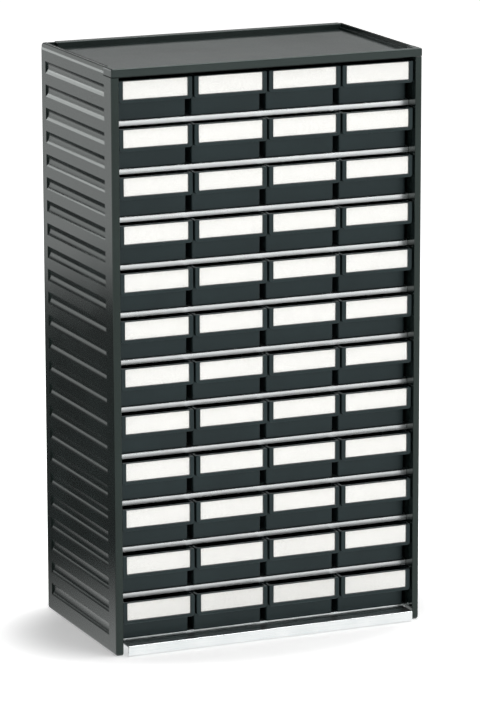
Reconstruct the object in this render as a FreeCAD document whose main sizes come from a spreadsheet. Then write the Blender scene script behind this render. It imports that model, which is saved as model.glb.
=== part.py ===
import FreeCAD, Part
import Sketcher
import os
import re

# Small-parts cabinet: ribbed side panels joined by zinc-plated shelves, a tray-like top
# cover and a base plate, with twelve rows of four label-fronted drawers.
# Frame: origin at the middle of the footprint on the floor, X to the right, Y to the rear
# (the drawer fronts face -Y), Z up.  All sizes in millimetres.

SIZES = [
    # cabinet as a whole
    ("cabinet_width", 310.0),
    ("cabinet_height", 550.0),
    ("panel_front", -87.0),
    ("panel_back", 93.0),
    ("clearance", 0.3),
    # side panels
    ("panel_wall", 4.5),
    ("post_width", 7.0),
    ("post_depth", 17.0),
    ("lower_corner_radius", 3.5),
    ("upper_corner_radius", 4.0),
    ("panel_edge_radius", 2.5),
    ("post_edge_radius", 0.6),
    ("groove_count", 24.0),
    ("groove_pitch", 22.0),
    ("groove_width", 11.4),
    ("groove_depth", 1.6),
    ("groove_front_land", 19.0),
    ("groove_back_land", 12.0),
    ("shoulder_height", 4.5),
    ("shoulder_slope", 2.0),
    ("shoulder_inset", 0.8),
    ("ledge_width", 2.5),
    ("ledge_thickness", 1.6),
    ("rear_flange_width", 4.5),
    ("rear_flange_front", 84.0),
    ("rear_flange_back", 91.0),
    ("rabbet_width", 2.0),
    # rows and columns
    ("row_count", 12.0),
    ("row_pitch", 44.4),
    ("first_row_height", 11.5),
    ("column_count", 4.0),
    ("column_pitch", 74.0),
    # steel shelves and base plate
    ("shelf_sheet", 0.8),
    ("shelf_flange_height", 5.0),
    ("shelf_front", -72.0),
    ("bottom_shelf_sheet", 1.0),
    ("bottom_shelf_front", -69.0),
    ("base_sheet", 1.0),
    ("base_front", -93.0),
    ("base_front_width", 290.6),
    ("base_underside", 1.5),
    ("bend_radius", 0.9),
    # top cover
    ("cover_height", 7.5),
    ("cover_seam", 0.8),
    ("cover_floor", 2.0),
    ("cover_lip_depth", 6.0),
    ("cover_corner_depth", 20.0),
    ("cover_side_rim_height", 4.0),
    ("cover_side_rim_width", 2.0),
    ("cover_back_rim_depth", 9.0),
    ("cover_slot_width", 9.2),
    ("cover_slot_length", 12.0),
    ("cover_lip_radius", 1.7),
    ("cover_edge_radius", 0.8),
    # back panel
    ("back_sheet", 1.0),
    ("back_underside", 2.0),
    # drawers, measured from the shelf surface and the column's middle
    ("drawer_width", 68.5),
    ("drawer_top", 38.5),
    ("drawer_front", -72.0),
    ("drawer_back", 90.5),
    ("drawer_wall", 1.6),
    ("drawer_corner_radius", 2.0),
    ("drawer_foot_radius", 1.0),
    ("holder_width", 72.0),
    ("holder_front", -84.0),
    ("holder_bottom", 17.8),
    ("holder_plate", 2.4),
    ("holder_lower_radius", 3.0),
    ("holder_upper_radius", 1.0),
    ("holder_edge_radius", 0.7),
    ("label_seat_width", 64.2),
    ("label_seat_bottom", 20.4),
    ("label_seat_top", 38.0),
    ("label_seat_depth", 1.3),
    ("stop_lug_front", 75.2),
    ("stop_lug_length", 10.0),
    ("stop_lug_top", 41.3),
    ("rib_height", 30.0),
    ("rib_width", 1.0),
    ("rib_depth", 0.9),
    ("rib_gap", 1.4),
    ("rib_first", -32.0),
    ("rib_pitch", 38.0),
    ("rib_stations", 3.0),
    # screws
    ("shank_radius", 1.2),
    ("pilot_radius", 1.25),
    ("head_radius", 2.8),
    ("head_height", 1.0),
    ("cross_width", 0.7),
    ("cross_length", 3.6),
    ("cross_depth", 0.5),
    ("back_screw_x", 149.3),
    ("back_screw_first", 40.0),
    ("back_screw_pitch", 155.0),
    ("back_screws_per_side", 4.0),
    ("back_screw_length", 9.0),
    ("base_screw_height", 6.0),
    ("base_screw_first", -40.0),
    ("base_screw_pitch", 100.0),
    ("base_screws_per_side", 2.0),
    ("base_screw_length", 4.0),
]

doc = FreeCAD.newDocument("PartsCabinet")
sheet = doc.addObject("Spreadsheet::Sheet", "Sizes")
for line, (alias, value) in enumerate(SIZES, start=1):
    sheet.set(f"A{line}", alias)
    sheet.set(f"B{line}", str(value))
    sheet.setAlias(f"B{line}", alias)
doc.recompute()

ALIASES = {alias for alias, value in SIZES}
subparts = []

# Planes that several pieces share, written in terms of the sheet.
OUTER_FACE = "cabinet_width / 2"
WALL_FACE = "cabinet_width / 2 - panel_wall"
POST_FACE = "cabinet_width / 2 - post_width"
POST_BACK = "panel_front + post_depth"
COVER_UNDERSIDE = "cabinet_height - cover_height"
COVER_FLOOR_TOP = "cabinet_height - cover_height + cover_floor"
BASE_TOP = "first_row_height - bottom_shelf_sheet"
FLANGE_FRONT = "rear_flange_front"


def formula(text):
    """The expression with each alias written as a cell of the sheet."""
    return re.sub(r"[a-z_]+", lambda m: "Sizes." + m[0] if m[0] in ALIASES else m[0], text)


def size(alias):
    return float(sheet.get(alias))


def value(text):
    """The number that an expression of the sheet stands for."""
    return float(sheet.evalExpression(formula(text)))


def bind(feature, prop, text):
    feature.setExpression(prop, formula(text))


def newBody(label):
    body = doc.addObject("PartDesign::Body", label)
    body.Label = label
    return body


def block(body, name, x_span, y_span, z_span, cut=False):
    """A box of material, or a box cut away, between two expressions along each axis."""
    kind = "PartDesign::SubtractiveBox" if cut else "PartDesign::AdditiveBox"
    box = body.newObject(kind, name)
    for prop, axis, (low, high) in zip(("Length", "Width", "Height"), "xyz", (x_span, y_span, z_span)):
        bind(box, prop, f"({high}) - ({low})")
        bind(box, f"Placement.Base.{axis}", low)
    return box


def profilePocket(body, name, corners, start, length):
    """A pocket along +Y of a straight-sided outline in X and Z, each corner two expressions."""
    sketch = body.newObject("Sketcher::SketchObject", name + "_outline")
    plane = next(o for o in body.Origin.OriginFeatures if o.Role == "XZ_Plane")
    sketch.AttachmentSupport = (plane, [""])
    sketch.MapMode = "FlatFace"
    # The sketch faces -Y, so a start further back is a negative offset along its normal.
    bind(sketch, "AttachmentOffset.Base.z", f"-({start})")
    places = [FreeCAD.Vector(value(x), value(z), 0) for x, z in corners]
    for place, following in zip(places, places[1:] + places[:1]):
        sketch.addGeometry(Part.LineSegment(place, following), False)
    for line in range(len(corners)):
        sketch.addConstraint(Sketcher.Constraint("Coincident", line, 2, (line + 1) % len(corners), 1))
    for line, (x, z) in enumerate(corners):
        for kind, text in (("DistanceX", x), ("DistanceY", z)):
            number = sketch.addConstraint(Sketcher.Constraint(kind, -1, 1, line, 1, value(text)))
            sketch.renameConstraint(number, f"{kind}_{line}")
            bind(sketch, f"Constraints.{kind}_{line}", text)
    pocket = body.newObject("PartDesign::Pocket", name)
    pocket.Profile = sketch
    bind(pocket, "Length", length)
    return pocket


def rod(body, name, radius, length, place, rotation, cut=False):
    """A cylinder that starts at a point of expressions and runs along a turned Z axis."""
    kind = "PartDesign::SubtractiveCylinder" if cut else "PartDesign::AdditiveCylinder"
    cylinder = body.newObject(kind, name)
    cylinder.Placement = FreeCAD.Placement(FreeCAD.Vector(), rotation)
    bind(cylinder, "Radius", radius)
    bind(cylinder, "Height", length)
    for axis, text in zip("xyz", place):
        bind(cylinder, f"Placement.Base.{axis}", text)
    return cylinder


def repeat(body, name, feature, axis_role, length, count):
    """A row of copies of a feature along one of the body's axes."""
    pattern = body.newObject("PartDesign::LinearPattern", name)
    pattern.Originals = [feature]
    axis = next(o for o in body.Origin.OriginFeatures if o.Role == axis_role)
    pattern.Direction = (axis, [""])
    bind(pattern, "Length", length)
    bind(pattern, "Occurrences", count)
    body.Tip = pattern
    return pattern


def edgesWhere(shape, test):
    """Names of the edges whose bounding box passes the test."""
    return [f"Edge{i}" for i, edge in enumerate(shape.Edges, start=1) if test(edge.BoundBox)]


def roundEdges(body, name, radius, test):
    """A fillet on every edge of the body's tip that passes the test."""
    base = body.Tip
    base.recompute(True)
    names = edgesWhere(base.Shape, test)
    if not names:
        raise RuntimeError(f"{body.Label}: no edge for {name}")
    fillet = body.newObject("PartDesign::Fillet", name)
    fillet.Base = (base, names)
    bind(fillet, "Radius", radius)
    return fillet


def near(a, b):
    return abs(a - b) < 1e-4


def flat(low, high, place):
    return near(low, place) and near(high, place)


def mirrored(side, inner, outer):
    """The span between two distances from the middle, on the left (-1) or right (+1)."""
    if side > 0:
        return (inner, outer)
    return (f"-({outer})", f"-({inner})")


ALONG_Y = FreeCAD.Rotation(FreeCAD.Vector(1, 0, 0), -90)
AGAINST_Y = FreeCAD.Rotation(FreeCAD.Vector(1, 0, 0), 90)
OUTWARD = {
    -1: FreeCAD.Rotation(FreeCAD.Vector(0, 1, 0), -90),
    1: FreeCAD.Rotation(FreeCAD.Vector(0, 1, 0), 90),
}


def makeSidePanel(label, side):
    """Moulded side: a wall with a thick front post, level grooves outside, ledges inside."""
    body = newBody(label)
    block(body, label + "_wall", mirrored(side, WALL_FACE, OUTER_FACE),
          ("panel_front", "panel_back"), ("0", "cabinet_height"))
    block(body, label + "_post", mirrored(side, POST_FACE, OUTER_FACE),
          ("panel_front", POST_BACK), ("0", "cabinet_height"))
    front = size("panel_front")
    back = size("panel_back")
    top = size("cabinet_height")
    outer = side * value(OUTER_FACE)
    inner = side * value(POST_FACE)
    roundEdges(body, label + "_lower_corners", "lower_corner_radius",
               lambda b: flat(b.ZMin, b.ZMax, 0)
               and (flat(b.YMin, b.YMax, front) or flat(b.YMin, b.YMax, back)))
    roundEdges(body, label + "_upper_corner", "upper_corner_radius",
               lambda b: flat(b.ZMin, b.ZMax, top) and flat(b.YMin, b.YMax, back))
    block(body, label + "_cover_notch", mirrored(side, POST_FACE + " - 1", OUTER_FACE + " + 1"),
          ("panel_front - 1", "panel_front + cover_corner_depth"),
          (COVER_UNDERSIDE + " - cover_seam", "cabinet_height + 1"), cut=True)
    # This edge runs on round the lower corners, up the back and along the top.
    roundEdges(body, label + "_outer_edge", "panel_edge_radius",
               lambda b: flat(b.XMin, b.XMax, outer) and flat(b.YMin, b.YMax, front)
               and b.ZLength > 100)
    roundEdges(body, label + "_post_edge", "post_edge_radius",
               lambda b: flat(b.XMin, b.XMax, inner) and flat(b.YMin, b.YMax, front)
               and b.ZLength > 100)
    # Above the shoulder the outer face steps in, with a slope between the two levels.
    shoulder = "cabinet_height - shoulder_height"
    profilePocket(body, label + "_shoulder",
                  [(f"{side} * ({OUTER_FACE} + 1)", shoulder + " - shoulder_slope"),
                   (f"{side} * ({OUTER_FACE})", shoulder + " - shoulder_slope"),
                   (f"{side} * ({OUTER_FACE} - shoulder_inset)", shoulder),
                   (f"{side} * ({OUTER_FACE} - shoulder_inset)", "cabinet_height + 1"),
                   (f"{side} * ({OUTER_FACE} + 1)", "cabinet_height + 1")],
                  "panel_front - 1", "panel_back - panel_front + 2")
    block(body, label + "_rear_flange", mirrored(side, WALL_FACE + " - rear_flange_width", WALL_FACE),
          (FLANGE_FRONT, "rear_flange_back"), ("lower_corner_radius", COVER_UNDERSIDE))
    block(body, label + "_rabbet", mirrored(side, WALL_FACE + " - 1", WALL_FACE + " + rabbet_width"),
          ("rear_flange_back", "panel_back + 1"), ("-1", COVER_UNDERSIDE), cut=True)
    block(body, label + "_cover_rest", mirrored(side, WALL_FACE + " - ledge_width", WALL_FACE),
          (POST_BACK, FLANGE_FRONT), (COVER_UNDERSIDE + " - ledge_thickness", COVER_UNDERSIDE))
    ledge_top = "first_row_height + row_pitch - shelf_sheet"
    ledge = block(body, label + "_ledge", mirrored(side, WALL_FACE + " - ledge_width", WALL_FACE),
                  (POST_BACK, FLANGE_FRONT), (ledge_top + " - ledge_thickness", ledge_top))
    repeat(body, label + "_ledges", ledge, "Z_Axis", "(row_count - 2) * row_pitch", "row_count - 1")
    # A groove is the part of a cylinder that dips groove_depth into the face.
    groove_radius = "(groove_width * groove_width / 4 + groove_depth * groove_depth) / (2 * groove_depth)"
    groove_axis = f"{side} * ({OUTER_FACE} - groove_depth + {groove_radius})"
    groove = rod(body, label + "_groove", groove_radius,
                 "panel_back - panel_front - groove_front_land - groove_back_land",
                 (groove_axis, "panel_front + groove_front_land", "groove_pitch"), ALONG_Y, cut=True)
    repeat(body, label + "_grooves", groove, "Z_Axis",
           "(groove_count - 1) * groove_pitch", "groove_count")
    back_pilot = rod(body, label + "_back_pilot", "pilot_radius", "back_screw_length",
                     (f"{side} * back_screw_x", "rear_flange_back", "back_screw_first"),
                     AGAINST_Y, cut=True)
    repeat(body, label + "_back_pilots", back_pilot, "Z_Axis",
           "(back_screws_per_side - 1) * back_screw_pitch", "back_screws_per_side")
    base_pilot = rod(body, label + "_base_pilot", "pilot_radius", "base_screw_length - base_sheet",
                     (f"{side} * ({WALL_FACE})", "base_screw_first", "base_screw_height"),
                     OUTWARD[side], cut=True)
    repeat(body, label + "_base_pilots", base_pilot, "Y_Axis",
           "(base_screws_per_side - 1) * base_screw_pitch", "base_screws_per_side")
    subparts.append(body)


def makeTopCover():
    """Tray-like cover: its front lip wraps both corners, its other rims stand inside the panels."""
    body = newBody("top_cover")
    inside = WALL_FACE + " - clearance"
    underside = COVER_UNDERSIDE
    block(body, "cover_lip", ("-cabinet_width / 2", OUTER_FACE),
          ("panel_front", "panel_front + cover_lip_depth"), (underside, "cabinet_height"))
    for side, name in ((-1, "left"), (1, "right")):
        block(body, f"cover_corner_{name}", mirrored(side, POST_FACE, OUTER_FACE),
              ("panel_front", "panel_front + cover_corner_depth - clearance"),
              (underside, "cabinet_height"))
    front = size("panel_front")
    top = size("cabinet_height")
    outer = value(OUTER_FACE)
    roundEdges(body, "cover_lip_edges", "cover_lip_radius",
               lambda b: flat(b.ZMin, b.ZMax, top)
               or (near(b.ZLength, size("cover_height")) and flat(b.YMin, b.YMax, front)
                   and near(abs(b.XMin), outer)))
    block(body, "cover_floor", ("-(" + inside + ")", inside),
          ("panel_front + cover_lip_depth", "rear_flange_back"), (underside, COVER_FLOOR_TOP))
    for side, name in ((-1, "left"), (1, "right")):
        block(body, f"cover_rim_{name}", mirrored(side, inside + " - cover_side_rim_width", inside),
              ("panel_front + cover_lip_depth", "panel_back"),
              (underside, underside + " + cover_side_rim_height"))
    block(body, "cover_back_rim", ("cover_slot_width - (" + inside + ")", inside),
          ("panel_back - cover_back_rim_depth", "panel_back"), (underside, "cabinet_height"))
    back = size("panel_back")
    rim_front = back - size("cover_back_rim_depth")
    rim_left = value("cover_slot_width - (" + inside + ")")
    roundEdges(body, "cover_back_rim_edges", "cover_edge_radius",
               lambda b: flat(b.ZMin, b.ZMax, top)
               and (flat(b.YMin, b.YMax, back) or flat(b.YMin, b.YMax, rim_front)
                    or flat(b.XMin, b.XMax, rim_left)))
    block(body, "cover_back_skirt", ("-(" + inside + ")", "cover_slot_width - (" + inside + ")"),
          ("rear_flange_back", "panel_back"), (underside, "cabinet_height - cover_edge_radius"))
    block(body, "cover_slot",
          ("cover_side_rim_width - (" + inside + ")", "cover_slot_width - (" + inside + ")"),
          ("rear_flange_back - cover_slot_length", "rear_flange_back"),
          (underside + " - 1", COVER_FLOOR_TOP + " + 1"), cut=True)
    # The rib under the cover stops the top row's drawers as the shelf flanges stop the others.
    block(body, "cover_stop_rib", ("clearance - (" + POST_FACE + ")", POST_FACE + " - clearance"),
          ("shelf_front + shelf_sheet - 2", "shelf_front + shelf_sheet"),
          ("first_row_height + row_count * row_pitch - shelf_flange_height", underside))
    subparts.append(body)


def makeShelf(row):
    """Zinc-plated sheet with its front edge bent down; row 0 is the lowest bent shelf."""
    name = f"shelf_{row + 1:02d}"
    body = newBody(name)
    front_half = "(" + POST_FACE + " - clearance)"
    wide_half = "(" + WALL_FACE + " - clearance)"
    block(body, name + "_flange", ("-" + front_half, front_half),
          ("shelf_front", "shelf_front + shelf_sheet"), ("-shelf_flange_height", "0"))
    block(body, name + "_nose", ("-" + front_half, front_half),
          ("shelf_front", POST_BACK + " + clearance"), ("-shelf_sheet", "0"))
    front = size("shelf_front")
    roundEdges(body, name + "_bend", "bend_radius",
               lambda b: flat(b.ZMin, b.ZMax, 0) and flat(b.YMin, b.YMax, front))
    block(body, name + "_sheet", ("-" + wide_half, wide_half),
          (POST_BACK + " + clearance", FLANGE_FRONT + " - clearance"), ("-shelf_sheet", "0"))
    bind(body, "Placement.Base.z", f"first_row_height + {row + 1} * row_pitch")
    return body


def makeBottomShelf():
    """Flat sheet under the lowest row, lying on the base plate."""
    body = newBody("bottom_shelf")
    half = "(" + WALL_FACE + " - clearance)"
    block(body, "bottom_shelf_sheet_block", ("-" + half, half),
          ("bottom_shelf_front", FLANGE_FRONT + " - clearance"), (BASE_TOP, "first_row_height"))
    subparts.append(body)


def makeBasePlate():
    """Shallow pan turned upside down; its front flange stands proud between the posts."""
    body = newBody("base_plate")
    top = BASE_TOP
    under = top + " - base_sheet"
    nose = "base_front_width / 2"
    back = FLANGE_FRONT + " - clearance"
    block(body, "base_nose", ("-" + nose, nose), ("base_front", POST_BACK + " + clearance"), (under, top))
    block(body, "base_front_flange", ("-" + nose, nose),
          ("base_front", "base_front + base_sheet"), ("base_underside", top))
    front = size("base_front")
    roundEdges(body, "base_bend", "bend_radius",
               lambda b: flat(b.ZMin, b.ZMax, value(top)) and flat(b.YMin, b.YMax, front))
    block(body, "base_sheet_block", ("-(" + WALL_FACE + ")", WALL_FACE),
          (POST_BACK + " + clearance", back), (under, top))
    for side, name in ((-1, "left"), (1, "right")):
        block(body, f"base_flange_{name}", mirrored(side, WALL_FACE + " - base_sheet", WALL_FACE),
              (POST_BACK + " + clearance", back), ("base_underside", top))
    block(body, "base_back_flange", ("-(" + WALL_FACE + ")", WALL_FACE),
          (back + " - base_sheet", back), ("base_underside", top))
    for side, name in ((-1, "left"), (1, "right")):
        hole = rod(body, f"base_hole_{name}", "pilot_radius", "base_sheet + 2",
                   (f"{side} * ({WALL_FACE} - base_sheet - 1)", "base_screw_first", "base_screw_height"),
                   OUTWARD[side], cut=True)
        repeat(body, f"base_holes_{name}", hole, "Y_Axis",
               "(base_screws_per_side - 1) * base_screw_pitch", "base_screws_per_side")
    subparts.append(body)


def makeBackPanel():
    """Flat sheet in the rabbets of the side panels."""
    body = newBody("back_panel")
    half = "(" + WALL_FACE + " + rabbet_width - clearance)"
    block(body, "back_sheet_block", ("-" + half, half),
          ("rear_flange_back", "rear_flange_back + back_sheet"),
          ("back_underside", COVER_UNDERSIDE + " - clearance"))
    for side, name in ((-1, "left"), (1, "right")):
        hole = rod(body, f"back_hole_{name}", "pilot_radius", "back_sheet + 2",
                   (f"{side} * back_screw_x", "rear_flange_back - 1", "back_screw_first"),
                   ALONG_Y, cut=True)
        repeat(body, f"back_holes_{name}", hole, "Z_Axis",
               "(back_screws_per_side - 1) * back_screw_pitch", "back_screws_per_side")
    subparts.append(body)


def makeScrew(name, length, turn):
    """Low-headed cross-recess screw: the head stands on the local XY plane, the shank hangs below."""
    body = newBody(name)
    upright = FreeCAD.Rotation()
    rod(body, name + "_shank", "shank_radius", length, ("0", "0", f"-({length})"), upright)
    rod(body, name + "_head", "head_radius", "head_height", ("0", "0", "0"), upright)
    for suffix, x_size, y_size in (("a", "cross_length", "cross_width"), ("b", "cross_width", "cross_length")):
        block(body, f"{name}_cross_{suffix}", (f"-{x_size} / 2", f"{x_size} / 2"),
              (f"-{y_size} / 2", f"{y_size} / 2"),
              ("head_height - cross_depth", "head_height + 1"), cut=True)
    body.Placement = FreeCAD.Placement(FreeCAD.Vector(), turn)
    return body


def group(label, bodies):
    """Separate solids that share one node."""
    compound = doc.addObject("Part::Compound", label)
    compound.Label = label
    compound.Links = bodies
    subparts.append(compound)


def makeScrews():
    back_screws = []
    base_screws = []
    for side, name in ((-1, "left"), (1, "right")):
        for number in range(int(size("back_screws_per_side"))):
            screw = makeScrew(f"back_screw_{name}_{number + 1}", "back_screw_length", ALONG_Y)
            bind(screw, "Placement.Base.x", f"{side} * back_screw_x")
            bind(screw, "Placement.Base.y", "rear_flange_back + back_sheet")
            bind(screw, "Placement.Base.z", f"back_screw_first + {number} * back_screw_pitch")
            back_screws.append(screw)
        for number in range(int(size("base_screws_per_side"))):
            screw = makeScrew(f"base_screw_{name}_{number + 1}", "base_screw_length", OUTWARD[-side])
            bind(screw, "Placement.Base.x", f"{side} * ({WALL_FACE} - base_sheet)")
            bind(screw, "Placement.Base.y", f"base_screw_first + {number} * base_screw_pitch")
            bind(screw, "Placement.Base.z", "base_screw_height")
            base_screws.append(screw)
    group("back_screws", back_screws)
    group("base_screws", base_screws)


def makeDrawer(row, column):
    """Open tub whose front steps forward above the middle: the step carries the label and is the pull."""
    label = f"drawer_r{row:02d}_c{column}"
    body = newBody(label)
    half = "drawer_width / 2"
    holder_half = "holder_width / 2"
    tub_bottom = "clearance"
    tub_floor = "clearance + drawer_wall"
    wall_back = "drawer_front + drawer_wall"
    # Front box that carries the label.
    block(body, label + "_holder", ("-" + holder_half, holder_half),
          ("holder_front", wall_back), ("holder_bottom", "drawer_top"))
    lower = size("holder_bottom")
    upper = size("drawer_top")
    holder_face = size("holder_front")
    holder_x = value(holder_half)
    roundEdges(body, label + "_holder_lower", "holder_lower_radius",
               lambda b: b.YLength > 5 and flat(b.ZMin, b.ZMax, lower))
    roundEdges(body, label + "_holder_upper", "holder_upper_radius",
               lambda b: b.YLength > 5 and flat(b.ZMin, b.ZMax, upper)
               and near(abs(b.XMin), holder_x))
    roundEdges(body, label + "_holder_face", "holder_edge_radius",
               lambda b: flat(b.YMin, b.YMax, holder_face))
    # Tub.
    block(body, label + "_tub", ("-" + half, half), ("drawer_front", "drawer_back"),
          (tub_bottom, "drawer_top"))
    tub_x = value(half)
    tub_front = size("drawer_front")
    tub_back = size("drawer_back")
    tub_foot = value(tub_bottom)
    roundEdges(body, label + "_tub_corners", "drawer_corner_radius",
               lambda b: b.ZLength > 10 and flat(abs(b.XMin), abs(b.XMax), tub_x)
               and (flat(b.YMin, b.YMax, tub_back)
                    or (flat(b.YMin, b.YMax, tub_front) and near(b.ZMin, tub_foot))))
    roundEdges(body, label + "_tub_foot", "drawer_foot_radius",
               lambda b: flat(b.ZMin, b.ZMax, tub_foot))
    # The inside: the main hollow, the hollow of the front box and the way between them.
    inside = half + " - drawer_wall"
    block(body, label + "_inside", (f"-({inside})", inside),
          (wall_back, "drawer_back - drawer_wall"), (tub_floor, "drawer_top + 1"), cut=True)
    block(body, label + "_front_inside", ("drawer_wall - " + holder_half, holder_half + " - drawer_wall"),
          ("holder_front + holder_plate", "drawer_front"),
          ("holder_bottom + drawer_wall", "drawer_top + 1"), cut=True)
    block(body, label + "_throat", (f"-({inside})", inside),
          ("drawer_front - drawer_wall / 2", wall_back + " + drawer_wall / 2"),
          ("holder_bottom + drawer_wall", "drawer_top + 1"), cut=True)
    inside_x = value(inside)
    inside_floor = value(tub_floor)
    roundEdges(body, label + "_inside_foot", "drawer_corner_radius",
               lambda b: flat(b.ZMin, b.ZMax, inside_floor)
               or (near(b.ZMin, inside_floor) and flat(abs(b.XMin), abs(b.XMax), inside_x)))
    # Shallow seat of the label.
    block(body, label + "_label_seat", ("-label_seat_width / 2", "label_seat_width / 2"),
          ("holder_front - 1", "holder_front + label_seat_depth"),
          ("label_seat_bottom", "label_seat_top"), cut=True)
    # Stop lugs stand above the side walls near the rear.
    for side, name in ((-1, "left"), (1, "right")):
        block(body, f"{label}_lug_{name}", mirrored(side, inside, half),
              ("stop_lug_front", "stop_lug_front + stop_lug_length"),
              ("drawer_top", "stop_lug_top"))
    # Pairs of ribs on the side walls hold cross dividers.
    for side, name in ((-1, "left"), (1, "right")):
        for pair, shift in (("a", "0"), ("b", "rib_width + rib_gap")):
            rib = block(body, f"{label}_rib_{name}_{pair}", mirrored(side, inside + " - rib_depth", inside),
                        ("rib_first + " + shift, "rib_first + rib_width + " + shift),
                        ("clearance + drawer_wall / 2", "rib_height"))
            repeat(body, f"{label}_ribs_{name}_{pair}", rib, "Y_Axis",
                   "(rib_stations - 1) * rib_pitch", "rib_stations")
    bind(body, "Placement.Base.x", f"({column} - (column_count + 1) / 2) * column_pitch")
    bind(body, "Placement.Base.z", f"first_row_height + (row_count - {row}) * row_pitch")
    subparts.append(body)


makeSidePanel("left_side_panel", -1)
makeSidePanel("right_side_panel", 1)
makeTopCover()
makeBasePlate()
makeBottomShelf()
group("drawer_shelves", [makeShelf(row) for row in range(int(size("row_count")) - 1)])
makeBackPanel()
makeScrews()
# Rows are counted from the top and columns from the left, as a label list would be.
for row in range(1, int(size("row_count")) + 1):
    for column in range(1, int(size("column_count")) + 1):
        makeDrawer(row, column)

doc.recompute()
for item in doc.Objects:
    if "Invalid" in item.State or "Error" in item.State:
        raise RuntimeError(f"{item.Label} did not compute: {item.State}")
for item in subparts:
    if item.Shape.isNull() or not item.Shape.isValid():
        raise RuntimeError(f"{item.Label} has no valid shape")

os.makedirs("parts", exist_ok=True)
for item in subparts:
    item.Shape.exportStep(f"parts/{item.Label}.step")
    print(f"{item.Label}: {len(item.Shape.Solids)} solid(s), {item.Shape.Volume / 1000:.1f} cm3")
travel = size("stop_lug_front") - size("shelf_front") - size("shelf_sheet")
print(f"drawer travel to the stop {travel:.1f} mm, {len(subparts)} nodes")
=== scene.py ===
import bpy
import math
from mathutils import Matrix, Vector


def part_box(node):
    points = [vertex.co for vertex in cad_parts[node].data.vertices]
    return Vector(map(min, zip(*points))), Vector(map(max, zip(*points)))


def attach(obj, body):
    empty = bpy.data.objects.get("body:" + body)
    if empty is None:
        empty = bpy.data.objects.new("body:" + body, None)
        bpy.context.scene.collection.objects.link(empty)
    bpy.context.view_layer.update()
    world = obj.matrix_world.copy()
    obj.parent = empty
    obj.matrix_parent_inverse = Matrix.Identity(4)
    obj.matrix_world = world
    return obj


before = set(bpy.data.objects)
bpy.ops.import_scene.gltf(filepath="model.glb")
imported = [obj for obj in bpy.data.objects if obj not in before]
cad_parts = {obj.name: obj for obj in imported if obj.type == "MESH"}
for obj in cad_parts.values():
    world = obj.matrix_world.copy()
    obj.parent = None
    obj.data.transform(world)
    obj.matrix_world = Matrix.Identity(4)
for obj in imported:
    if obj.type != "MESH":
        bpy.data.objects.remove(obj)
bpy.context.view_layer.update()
print("frame loaded:", len(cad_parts), "nodes")

mm = 0.001
parallel = 0.99  # cosine from which two directions count as the same
drawerNames = sorted(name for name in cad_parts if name.startswith("drawer_r"))


def hexColor(text):
    # sRGB hex to the linear values that shaders use
    channels = [int(text[i:i + 2], 16) / 255 for i in (1, 3, 5)]
    linear = [c / 12.92 if c <= 0.04045 else ((c + 0.055) / 1.055) ** 2.4 for c in channels]
    return (*linear, 1.0)


def addNode(tree, kind, links=None, stops=(), **settings):
    # settings are node properties or input sockets, links are socket name to source,
    # and stops are the places and hex colours of a colour ramp
    node = tree.nodes.new(kind)
    for name, value in settings.items():
        if hasattr(node, name):
            setattr(node, name, value)
        else:
            node.inputs[name.replace("_", " ")].default_value = value
    for i, (place, color) in enumerate(stops):
        node.color_ramp.elements[i].position = place
        node.color_ramp.elements[i].color = hexColor(color)
    for socket, source in (links or {}).items():
        tree.links.new(source, node.inputs[socket])
    return node


def newMaterial(name):
    material = bpy.data.materials.new(name)
    material.use_nodes = True
    tree = material.node_tree
    return material, tree, tree.nodes["Principled BSDF"]


# Conductive polystyrene, injection moulded. Carbon makes it near black with a cold cast, and
# the spark-eroded tool leaves a fine grain that softens the gloss.
def mouldedPlastic(name, finish):
    material, tree, shader = newMaterial(name)
    place = addNode(tree, "ShaderNodeTexCoord").outputs["Object"]
    flow = addNode(tree, "ShaderNodeTexNoise", {"Vector": place},
                   Scale=1 / (finish["flow"] * mm), Detail=3.0)
    tint = addNode(tree, "ShaderNodeValToRGB", {"Fac": flow.outputs["Fac"]},
                   stops=((0.35, finish["dark"]), (0.68, finish["light"])))
    tree.links.new(tint.outputs["Color"], shader.inputs["Base Color"])
    grain = addNode(tree, "ShaderNodeTexNoise", {"Vector": place},
                    Scale=1 / (finish["grain"] * mm), Detail=2.0)
    handled = addNode(tree, "ShaderNodeMath", {0: grain.outputs["Fac"], 1: flow.outputs["Fac"]},
                      operation="ADD")
    gloss = addNode(tree, "ShaderNodeMapRange", {"Value": handled.outputs["Value"]},
                    From_Min=0.7, From_Max=1.3,
                    To_Min=finish["roughness"] - 0.04, To_Max=finish["roughness"] + 0.05)
    tree.links.new(gloss.outputs["Result"], shader.inputs["Roughness"])
    bump = addNode(tree, "ShaderNodeBump", {"Height": grain.outputs["Fac"]},
                   Strength=finish["relief"], Distance=finish["depth"] * mm)
    tree.links.new(bump.outputs["Normal"], shader.inputs["Normal"])
    shader.inputs["IOR"].default_value = finish["ior"]
    shader.inputs["Specular Tint"].default_value = hexColor(finish["sheen"])  # carbon cools the gloss
    return material


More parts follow.
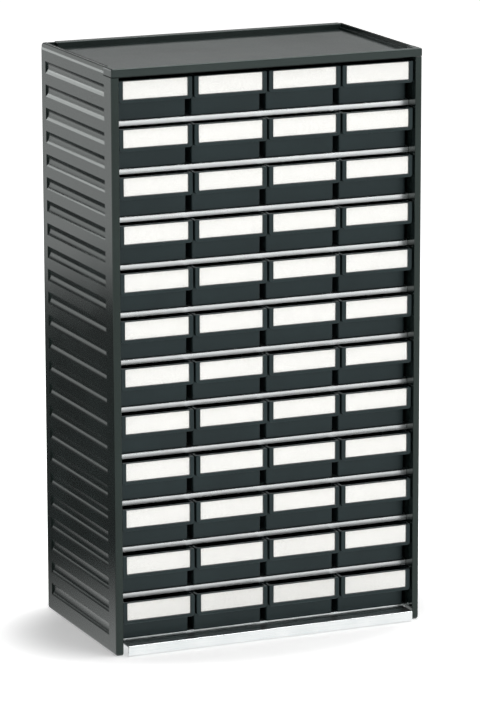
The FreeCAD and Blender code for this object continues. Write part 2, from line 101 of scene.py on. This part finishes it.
# Cold-rolled sheet with bright electroplated zinc: a pale mirror, blurred by the streaks that
# the mill rolls left, which run the length of each shelf.
def zincPlate(name, finish):
    material, tree, shader = newMaterial(name)
    place = addNode(tree, "ShaderNodeTexCoord").outputs["Object"]
    rolled = addNode(tree, "ShaderNodeMapping", {"Vector": place}, Scale=(0.02, 1.0, 1.0))
    streaks = addNode(tree, "ShaderNodeTexNoise", {"Vector": rolled.outputs["Vector"]},
                      Scale=1 / (finish["streak"] * mm), Detail=4.0)
    cloud = addNode(tree, "ShaderNodeTexNoise", {"Vector": place},
                    Scale=1 / (finish["cloud"] * mm), Detail=2.0)
    mixed = addNode(tree, "ShaderNodeMath", {0: streaks.outputs["Fac"], 1: cloud.outputs["Fac"]},
                    operation="ADD")
    shade = addNode(tree, "ShaderNodeMapRange", {"Value": mixed.outputs["Value"]},
                    From_Min=0.6, From_Max=1.4)
    tint = addNode(tree, "ShaderNodeValToRGB", {"Fac": shade.outputs["Result"]},
                   stops=((0.0, finish["dark"]), (1.0, finish["light"])))
    tree.links.new(tint.outputs["Color"], shader.inputs["Base Color"])
    gloss = addNode(tree, "ShaderNodeMapRange", {"Value": streaks.outputs["Fac"]},
                    From_Min=0.3, From_Max=0.7,
                    To_Min=finish["roughness"] - 0.05, To_Max=finish["roughness"] + 0.06)
    tree.links.new(gloss.outputs["Result"], shader.inputs["Roughness"])
    bump = addNode(tree, "ShaderNodeBump", {"Height": streaks.outputs["Fac"]},
                   Strength=0.25, Distance=finish["depth"] * mm)
    tree.links.new(bump.outputs["Normal"], shader.inputs["Normal"])
    shader.inputs["Metallic"].default_value = 1.0
    return material


# Powder-coated sheet: baked polyester powder cures to a satin skin with a soft orange peel.
def powderCoat(name, finish):
    material, tree, shader = newMaterial(name)
    place = addNode(tree, "ShaderNodeTexCoord").outputs["Object"]
    peel = addNode(tree, "ShaderNodeTexNoise", {"Vector": place},
                   Scale=1 / (finish["peel"] * mm), Detail=1.0)
    cloud = addNode(tree, "ShaderNodeTexNoise", {"Vector": place},
                    Scale=1 / (finish["cloud"] * mm), Detail=3.0)
    tint = addNode(tree, "ShaderNodeValToRGB", {"Fac": cloud.outputs["Fac"]},
                   stops=((0.35, finish["dark"]), (0.65, finish["light"])))
    tree.links.new(tint.outputs["Color"], shader.inputs["Base Color"])
    gloss = addNode(tree, "ShaderNodeMapRange", {"Value": cloud.outputs["Fac"]},
                    From_Min=0.3, From_Max=0.7,
                    To_Min=finish["roughness"] - 0.04, To_Max=finish["roughness"] + 0.06)
    tree.links.new(gloss.outputs["Result"], shader.inputs["Roughness"])
    bump = addNode(tree, "ShaderNodeBump", {"Height": peel.outputs["Fac"]},
                   Strength=0.5, Distance=finish["depth"] * mm)
    tree.links.new(bump.outputs["Normal"], shader.inputs["Normal"])
    return material


# Coated label card, calendered smooth: warm white, with faint clouding from its fibres.
def labelCard(name, finish):
    material, tree, shader = newMaterial(name)
    place = addNode(tree, "ShaderNodeTexCoord").outputs["Object"]
    fibre = addNode(tree, "ShaderNodeTexNoise", {"Vector": place},
                    Scale=1 / (finish["fibre"] * mm), Detail=4.0)
    tint = addNode(tree, "ShaderNodeValToRGB", {"Fac": fibre.outputs["Fac"]},
                   stops=((0.3, finish["dark"]), (0.7, finish["light"])))
    tree.links.new(tint.outputs["Color"], shader.inputs["Base Color"])
    bump = addNode(tree, "ShaderNodeBump", {"Height": fibre.outputs["Fac"]},
                   Strength=0.2, Distance=finish["depth"] * mm)
    tree.links.new(bump.outputs["Normal"], shader.inputs["Normal"])
    shader.inputs["Roughness"].default_value = finish["roughness"]
    return material


# Clear PVC film, pressed flat: it shows as a thin gloss over the card, a little uneven.
def clearFilm(name, finish):
    material, tree, shader = newMaterial(name)
    place = addNode(tree, "ShaderNodeTexCoord").outputs["Object"]
    smear = addNode(tree, "ShaderNodeTexNoise", {"Vector": place},
                    Scale=1 / (finish["smear"] * mm), Detail=2.0)
    gloss = addNode(tree, "ShaderNodeMapRange", {"Value": smear.outputs["Fac"]},
                    From_Min=0.3, From_Max=0.7,
                    To_Min=finish["roughness"], To_Max=finish["roughness"] + 0.12)
    tree.links.new(gloss.outputs["Result"], shader.inputs["Roughness"])
    shader.inputs["Base Color"].default_value = hexColor(finish["tint"])
    shader.inputs["IOR"].default_value = finish["ior"]
    shader.inputs["Alpha"].default_value = finish["alpha"]
    return material


# In the finishes, flow, grain, streak, cloud, peel, fibre, smear and depth are millimetres.
sideFinish = {"dark": "#111817", "light": "#171f1e", "flow": 70, "grain": 0.7, "depth": 0.02,
              "relief": 0.05, "roughness": 0.17, "ior": 1.48, "sheen": "#eafff6"}
sidePlastic = mouldedPlastic("conductivePolystyreneSides", sideFinish)

coverFinish = {"dark": "#161e1d", "light": "#1d2524", "flow": 60, "grain": 1.2, "depth": 0.02,
               "relief": 0.5, "roughness": 0.33, "ior": 1.5, "sheen": "#effffa"}
coverPlastic = mouldedPlastic("conductivePolystyreneCover", coverFinish)

drawerFinish = {"dark": "#151d1e", "light": "#1b2526", "flow": 45, "grain": 0.8, "depth": 0.02,
                "relief": 0.3, "roughness": 0.33, "ior": 1.43, "sheen": "#e4fbff"}
drawerPlastic = mouldedPlastic("conductivePolystyreneDrawers", drawerFinish)

shelfFinish = {"dark": "#e8eeee", "light": "#fdffff", "streak": 1.6, "cloud": 25, "depth": 0.004,
               "roughness": 0.29}
shelfZinc = zincPlate("brightZincPlatedSheet", shelfFinish)

screwFinish = {"dark": "#c9ccce", "light": "#eceeef", "streak": 0.5, "cloud": 3, "depth": 0.004,
               "roughness": 0.24}
screwZinc = zincPlate("zincPlatedScrewSteel", screwFinish)

backFinish = {"dark": "#2b3131", "light": "#323838", "peel": 1.8, "cloud": 80, "depth": 0.05,
              "roughness": 0.46}
backSteel = powderCoat("powderCoatedBackSheet", backFinish)

cardFinish = {"dark": "#eceae6", "light": "#f6f5f1", "fibre": 1.4, "depth": 0.01, "roughness": 0.6}
card = labelCard("coatedLabelCard", cardFinish)

filmFinish = {"tint": "#e8eceb", "alpha": 0.07, "smear": 18, "roughness": 0.08, "ior": 1.53}
film = clearFilm("clearPvcFilm", filmFinish)

nodeMaterials = {
    "left_side_panel": sidePlastic, "right_side_panel": sidePlastic, "top_cover": coverPlastic,
    "base_plate": shelfZinc, "bottom_shelf": shelfZinc, "drawer_shelves": shelfZinc,
    "back_panel": backSteel, "back_screws": screwZinc, "base_screws": screwZinc,
}
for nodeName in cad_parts:
    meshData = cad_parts[nodeName].data
    meshData.materials.clear()
    meshData.materials.append(nodeMaterials.get(nodeName, drawerPlastic))
print("finishes on", len(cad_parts), "nodes")


def activeObject(name):
    piece = bpy.context.active_object
    piece.name = name
    piece.data.name = name
    return piece


def selectCornerEdges(piece):
    # edit mode must be on; the corner edges run from front to back
    bpy.ops.mesh.select_all(action="DESELECT")
    bpy.ops.object.mode_set(mode="OBJECT")
    vertices = piece.data.vertices
    for edge in piece.data.edges:
        a, b = (vertices[i].co for i in edge.vertices)
        edge.select = abs((b - a).normalized().y) > parallel
    bpy.ops.object.mode_set(mode="EDIT")


def selectFrontFace(piece):
    bpy.ops.mesh.select_all(action="DESELECT")
    bpy.ops.object.mode_set(mode="OBJECT")
    for face in piece.data.polygons:
        face.select = face.normal.y < -parallel
    bpy.ops.object.mode_set(mode="EDIT")


def startPlate(name, size):
    # an upright plate about the origin, front face towards -Y, left in edit mode with its
    # four corners rounded and its front face selected
    bpy.ops.object.select_all(action="DESELECT")
    bpy.ops.mesh.primitive_cube_add(size=1, scale=(size["width"], size["thickness"], size["height"]))
    piece = activeObject(name)
    bpy.ops.object.transform_apply(location=False, rotation=False, scale=True)
    bpy.ops.object.mode_set(mode="EDIT")
    bpy.ops.mesh.select_mode(type="EDGE")
    selectCornerEdges(piece)
    bpy.ops.mesh.bevel(offset=size["corner"], segments=3)
    bpy.ops.mesh.select_mode(type="FACE")
    selectFrontFace(piece)
    return piece


# card that slides into the seat of a label holder
cardSizes = {"width": 62.7 * mm, "height": 16.4 * mm, "thickness": 0.3 * mm,
             "corner": 0.5 * mm, "edge": 0.08 * mm}


def makeCard():
    piece = startPlate("label_card", cardSizes)
    bpy.ops.mesh.bevel(offset=cardSizes["edge"], segments=1)
    bpy.ops.object.mode_set(mode="OBJECT")
    piece.data.materials.append(card)
    return piece


# clear window that fills the seat and has a raised rim around the card
filmSizes = {"width": 64.0 * mm, "height": 17.4 * mm, "thickness": 0.6 * mm,
             "corner": 0.7 * mm, "rim": 0.55 * mm, "step": 0.25 * mm, "smoothAngle": 35}


def makeWindow():
    piece = startPlate("label_window", filmSizes)
    bpy.ops.mesh.inset(thickness=filmSizes["rim"])
    bpy.ops.mesh.inset(thickness=filmSizes["step"])
    bpy.ops.transform.translate(value=(0, filmSizes["step"], 0))
    bpy.ops.object.mode_set(mode="OBJECT")
    bpy.ops.object.shade_smooth_by_angle(angle=math.radians(filmSizes["smoothAngle"]))
    piece.data.materials.append(film)
    return piece


def copyTo(source, name, offset, body):
    piece = source.copy()
    piece.data = source.data.copy()
    piece.name = name
    piece.data.name = name
    piece.data.transform(Matrix.Translation(offset))
    bpy.context.collection.objects.link(piece)
    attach(piece, body)


# Where card and window sit in a label holder: heights of their middles above the shelf, and
# how far each back face lies behind the drawer's front.
labelSeat = {"cardHeight": 29.3 * mm, "filmHeight": 29.2 * mm, "drawerLift": 0.3 * mm,
             "cardBack": 1.26 * mm, "filmBack": 0.92 * mm}

firstCard = makeCard()
firstWindow = makeWindow()
for nodeName in drawerNames:
    low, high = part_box(nodeName)
    middleX = (low.x + high.x) / 2
    shelfZ = low.z - labelSeat["drawerLift"]
    cardY = low.y + labelSeat["cardBack"] - cardSizes["thickness"] / 2
    filmY = low.y + labelSeat["filmBack"] - filmSizes["thickness"] / 2
    cardPlace = (middleX, cardY, shelfZ + labelSeat["cardHeight"])
    filmPlace = (middleX, filmY, shelfZ + labelSeat["filmHeight"])
    code = nodeName[len("drawer_"):]
    copyTo(firstCard, "label_card_" + code, cardPlace, nodeName)
    copyTo(firstWindow, "label_window_" + code, filmPlace, nodeName)
bpy.data.objects.remove(firstCard)
bpy.data.objects.remove(firstWindow)
print("label cards and windows made:", len(drawerNames), "of each")

# The floor glows like a light table, evenly bright further out; the dimmer oval about the cabinet's foot
# is a painted shadow of the cabinet.
# Gloss does not show it: it shows the bright horizon of the studio air and the dark flag.
# the glow inside the oval is the painted shadow's level; outside it the floor glows evenly
floorPlan = {"size": 24, "hex": "#e4e4e4", "roughness": 0.8, "paintedShadowGlow": 0.3, "glowFar": 1.0,
             "middle": (-0.01, -0.02, 0), "halfWidth": 0.17, "halfDepth": 0.11, "reach": 1.7}

bpy.ops.object.select_all(action="DESELECT")
bpy.ops.mesh.primitive_plane_add(size=floorPlan["size"])
floor = activeObject("studio_floor")
floorMaterial, floorTree, floorShader = newMaterial("glowingFloorWithPaintedShadow")
floorPlace = addNode(floorTree, "ShaderNodeTexCoord").outputs["Object"]
# painted shadow: an oval round the cabinet's foot where the floor glows less
paintedShadowOval = addNode(floorTree, "ShaderNodeMapping", {"Vector": floorPlace}, vector_type="TEXTURE",
                    Location=floorPlan["middle"],
                    Scale=(floorPlan["halfWidth"], floorPlan["halfDepth"], 1))
paintedShadowRadius = addNode(floorTree, "ShaderNodeVectorMath", {0: paintedShadowOval.outputs["Vector"]},
                      operation="LENGTH")
# the glow rises from the painted shadow inside the oval to the floor's even glow outside
floorGlowAndPaintedShadow = addNode(floorTree, "ShaderNodeMapRange", {"Value": paintedShadowRadius.outputs["Value"]},
                    From_Min=1.0, From_Max=floorPlan["reach"], To_Min=floorPlan["paintedShadowGlow"],
                    To_Max=floorPlan["glowFar"], interpolation_type="SMOOTHSTEP")
floorTree.links.new(floorGlowAndPaintedShadow.outputs["Result"], floorShader.inputs["Emission Strength"])
floorShader.inputs["Emission Color"].default_value = (1, 1, 1, 1)
floorShader.inputs["Base Color"].default_value = hexColor(floorPlan["hex"])
floorShader.inputs["Roughness"].default_value = floorPlan["roughness"]
floor.data.materials.append(floorMaterial)
floor.visible_glossy = False

# The flag is an oval of dark cloth with a soft edge, laid behind the cabinet's left side. Only
# gloss sees it, and it darkens what the left side panel mirrors.
flagPlan = {"place": (-0.53, 0.8, -0.002), "halfLength": 1.6, "halfWidth": 0.36, "heading": 23.5,
            "glow": 0.07, "softEdge": 0.45}

bpy.ops.object.select_all(action="DESELECT")
bpy.ops.mesh.primitive_circle_add(vertices=64, radius=1, fill_type="NGON",
                                  location=flagPlan["place"],
                                  rotation=(0, 0, math.radians(flagPlan["heading"])),
                                  scale=(flagPlan["halfWidth"], flagPlan["halfLength"], 1))
flag = activeObject("studio_flag")
flagMaterial, flagTree, flagShader = newMaterial("softEdgedFlagCloth")
flagTree.nodes.remove(flagShader)
flagPlace = addNode(flagTree, "ShaderNodeTexCoord").outputs["Object"]
flagFall = addNode(flagTree, "ShaderNodeTexGradient", {"Vector": flagPlace},
                   gradient_type="SPHERICAL")
flagCover = addNode(flagTree, "ShaderNodeMapRange", {"Value": flagFall.outputs["Fac"]},
                    From_Min=0.0, From_Max=flagPlan["softEdge"], interpolation_type="SMOOTHSTEP")
flagClear = addNode(flagTree, "ShaderNodeBsdfTransparent")
flagDark = addNode(flagTree, "ShaderNodeEmission", Strength=flagPlan["glow"])
flagMix = addNode(flagTree, "ShaderNodeMixShader",
                  {0: flagCover.outputs["Result"], 1: flagClear.outputs["BSDF"],
                   2: flagDark.outputs["Emission"]})
flagTree.links.new(flagMix.outputs["Shader"], flagTree.nodes["Material Output"].inputs["Surface"])
flag.data.materials.append(flagMaterial)
flag.visible_camera = False
flag.visible_diffuse = False
flag.visible_transmission = False
flag.visible_shadow = False

# White air, bright below and along the horizon and dim overhead. The fade is set by how far a
# direction rises, from -1 straight down to 1 straight up.
skyPlan = {"horizon": 1.0, "zenith": 0.08, "fadeFrom": -0.02, "fadeTo": 0.12}

world = bpy.data.worlds.new("studioAir")
world.use_nodes = True
sky = world.node_tree
direction = addNode(sky, "ShaderNodeTexCoord").outputs["Generated"]
up = addNode(sky, "ShaderNodeSeparateXYZ", {"Vector": direction})
fade = addNode(sky, "ShaderNodeMapRange", {"Value": up.outputs["Z"]},
               From_Min=skyPlan["fadeFrom"], From_Max=skyPlan["fadeTo"],
               To_Min=skyPlan["horizon"], To_Max=skyPlan["zenith"],
               interpolation_type="SMOOTHSTEP")
sky.links.new(fade.outputs["Result"], sky.nodes["Background"].inputs["Strength"])
sky.nodes["Background"].inputs["Color"].default_value = (1, 1, 1, 1)
bpy.context.scene.world = world
print("floor, flag and air ready")

# metres and watts; each lamp faces its target
lamps = {
    "top_softbox": {"place": (0.5, -0.4, 2.3), "target": (0, 0, 0.3), "size": (1.6, 1.5), "watts": 42},
    "front_softbox": {"place": (-0.9, -2.6, 1.5), "target": (0, 0, 0.3), "size": (1.3, 1.0), "watts": 15},
    "rear_softbox": {"place": (1.2, 2.6, 1.95), "target": (0, 0, 0.5), "size": (1.9, 1.2), "watts": 11},
    "side_strip": {"place": (-0.5, 0.62, 0.62), "target": (-0.1, 0, 0.55), "size": (0.7, 0.22),
                   "watts": 1.3},
    "right_softbox": {"place": (1.6, -2.6, 0.9), "target": (0, 0, 0.3), "size": (1.4, 0.9), "watts": 6},
}
for lampName, plan in lamps.items():
    bpy.ops.object.light_add(type="AREA", location=plan["place"])
    lamp = bpy.context.active_object
    lamp.name = lampName
    lamp.data.shape = "RECTANGLE"
    lamp.data.size, lamp.data.size_y = plan["size"]
    lamp.data.energy = plan["watts"]
    lamp.visible_camera = False
    aim = Vector(plan["target"]) - Vector(plan["place"])
    lamp.rotation_euler = aim.to_track_quat("-Z", "Y").to_euler()
print("studio lit by", len(lamps), "lamps")

# metres, degrees, and millimetres of lens and sensor
cameraPlan = {"place": (-1.5576, -3.6381, 1.1556), "heading": -23.308, "pitch": -12.919,
              "roll": 0.139, "lens": 213.46, "sensor": 36, "reach": 60}
cameraTurn = (90 + cameraPlan["pitch"], cameraPlan["roll"], cameraPlan["heading"])
bpy.ops.object.camera_add(location=cameraPlan["place"],
                          rotation=[math.radians(angle) for angle in cameraTurn])
camera = bpy.context.active_object
camera.name = "studio_camera"
camera.data.lens = cameraPlan["lens"]
camera.data.sensor_width = cameraPlan["sensor"]
camera.data.clip_end = cameraPlan["reach"]
bpy.context.scene.camera = camera
bpy.context.scene.view_settings.view_transform = "Standard"
print("camera placed")
